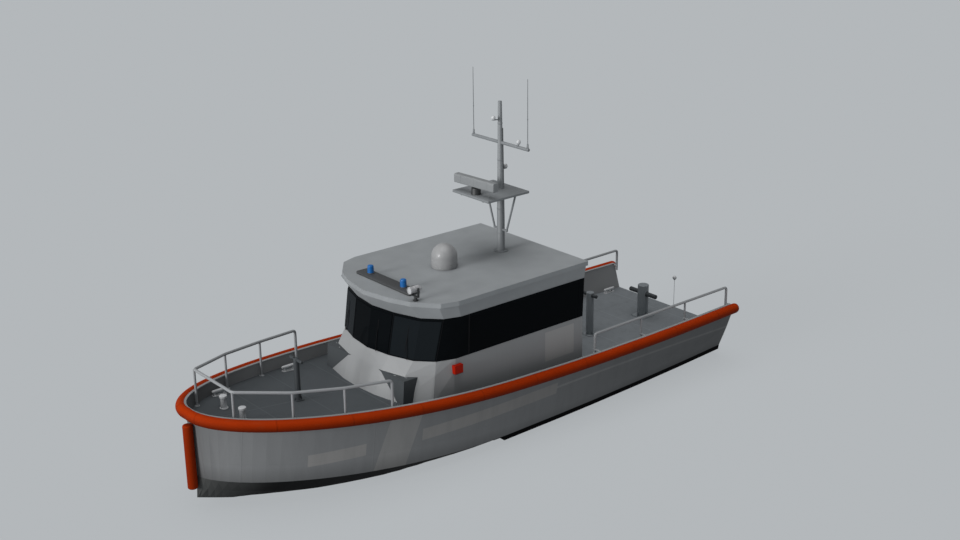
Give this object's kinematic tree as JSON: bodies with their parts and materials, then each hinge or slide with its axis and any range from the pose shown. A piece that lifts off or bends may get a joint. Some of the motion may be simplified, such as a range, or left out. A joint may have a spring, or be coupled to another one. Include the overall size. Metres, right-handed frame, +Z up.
{
  "type": "response boat",
  "caption": "Response boat with a deep-V hull, foam collar, wraparound wheelhouse, radar mast, bitts, rails and twin waterjets.",
  "frame": {"origin": "on the waterline at the centreline, amidships", "axes": "+X to the bow, +Y to port, +Z up"},
  "size_m": [14.5734, 4.576, 8.5],
  "materials": {
    "hull_paint": "matt grey paint",
    "deck_paint": "non-slip paint",
    "bitt_paint": "satin paint",
    "collar_foam": "orange foam skin",
    "house_paint": "satin grey paint",
    "window_glass": "dark tinted",
    "rail_metal": "satin",
    "mast_paint": "satin paint",
    "dome_plastic": "gloss",
    "gear_black": "matt",
    "lamp_metal": "satin",
    "seat_trim": "vinyl",
    "port_lens": "clear red",
    "starboard_lens": "clear green",
    "jet_metal": "cast"
  },
  "bodies": {
    "boat": {"hull": "hull_paint", "bulwark_port": "hull_paint", "bulwark_starboard": "hull_paint", "foredeck": "deck_paint", "cockpit_deck": "deck_paint", "locker_port": "deck_paint", "locker_starboard": "deck_paint", "fore_bitt": "bitt_paint", "mid_bitt": "bitt_paint", "tow_bitt": "bitt_paint", "collar_port": "collar_foam", "collar_starboard": "collar_foam", "stem_fender": "collar_foam", "cabin_front": "house_paint", "cabin_aft": "house_paint", "roof": "house_paint", "cabin_side_port": "house_paint", "cabin_side_starboard": "house_paint", "windscreen_centre": "window_glass", "windscreen_port": "window_glass", "windscreen_starboard": "window_glass", "window_port": "window_glass", "window_starboard": "window_glass", "window_aft_port": "window_glass", "window_aft_starboard": "window_glass", "bow_rail": "rail_metal", "stern_light": "rail_metal", "aft_rail_port": "rail_metal", "aft_rail_starboard": "rail_metal", "bollard_port": "rail_metal", "bollard_starboard": "rail_metal", "cleat_fore_port": "rail_metal", "cleat_fore_starboard": "rail_metal", "cleat_mid_port": "rail_metal", "cleat_mid_starboard": "rail_metal", "cleat_aft_port": "rail_metal", "cleat_aft_starboard": "rail_metal", "mast": "mast_paint", "radome": "dome_plastic", "light_bar": "gear_black", "helm_console": "gear_black", "whip_port": "gear_black", "whip_starboard": "gear_black", "crew_seats": "seat_trim", "sidelight_port": "port_lens", "sidelight_starboard": "starboard_lens", "jet_housing_port": "jet_metal", "jet_housing_starboard": "jet_metal"},
    "door": {"aft_door": "house_paint", "door_glass": "window_glass"},
    "lid_port": {"locker_lid_port": "deck_paint"},
    "lid_starboard": {"locker_lid_starboard": "deck_paint"},
    "scanner": {"radar_scanner": "dome_plastic"},
    "yoke": {"searchlight_yoke": "gear_black"},
    "lamp": {"searchlight_head": "lamp_metal"},
    "nozzle_port": {"jet_nozzle_port": "jet_metal"},
    "nozzle_starboard": {"jet_nozzle_starboard": "jet_metal"},
    "bucket_port": {"reverse_bucket_port": "jet_metal"},
    "bucket_starboard": {"reverse_bucket_starboard": "jet_metal"}
  },
  "joints": [
    {"name": "aft_door_swing", "type": "hinge", "parent": "boat", "child": "door", "pos_m": [-2.0328, 0.41, 0], "axis": [0, 0, -1], "range_deg": [0, 110]},
    {"name": "radar_turn", "type": "hinge", "parent": "boat", "child": "scanner", "pos_m": [-0.45, 0, 5.2], "axis": [0, 0, 1], "continuous": true},
    {"name": "searchlight_pan", "type": "hinge", "parent": "boat", "child": "yoke", "pos_m": [2.15, 1.2, 3.56], "axis": [0, 0, 1], "range_deg": [-170, 170]},
    {"name": "searchlight_tilt", "type": "hinge", "parent": "yoke", "child": "lamp", "pos_m": [2.15, 1.2, 3.8], "axis": [0, -1, 0], "range_deg": [-20, 45]},
    {"name": "steer_port", "type": "hinge", "parent": "boat", "child": "nozzle_port", "pos_m": [-7.19, 0.68, -0.02], "axis": [0, 0, 1], "range_deg": [-25, 25]},
    {"name": "reverse_port", "type": "hinge", "parent": "nozzle_port", "child": "bucket_port", "pos_m": [-7.36, 0.68, -0.02], "axis": [0, -1, 0], "range_deg": [0, 55]},
    {"name": "steer_starboard", "type": "hinge", "parent": "boat", "child": "nozzle_starboard", "pos_m": [-7.19, -0.68, -0.02], "axis": [0, 0, 1], "range_deg": [-25, 25]},
    {"name": "reverse_starboard", "type": "hinge", "parent": "nozzle_starboard", "child": "bucket_starboard", "pos_m": [-7.36, -0.68, -0.02], "axis": [0, -1, 0], "range_deg": [0, 55]},
    {"name": "locker_lid_port_lift", "type": "hinge", "parent": "boat", "child": "lid_port", "pos_m": [2.52, 1.1075, 1.97], "axis": [0.3746, -0.9272, 0], "range_deg": [0, 80]},
    {"name": "locker_lid_starboard_lift", "type": "hinge", "parent": "boat", "child": "lid_starboard", "pos_m": [2.52, -1.1075, 1.97], "axis": [-0.3746, -0.9272, 0], "range_deg": [0, 80]}
  ]
}
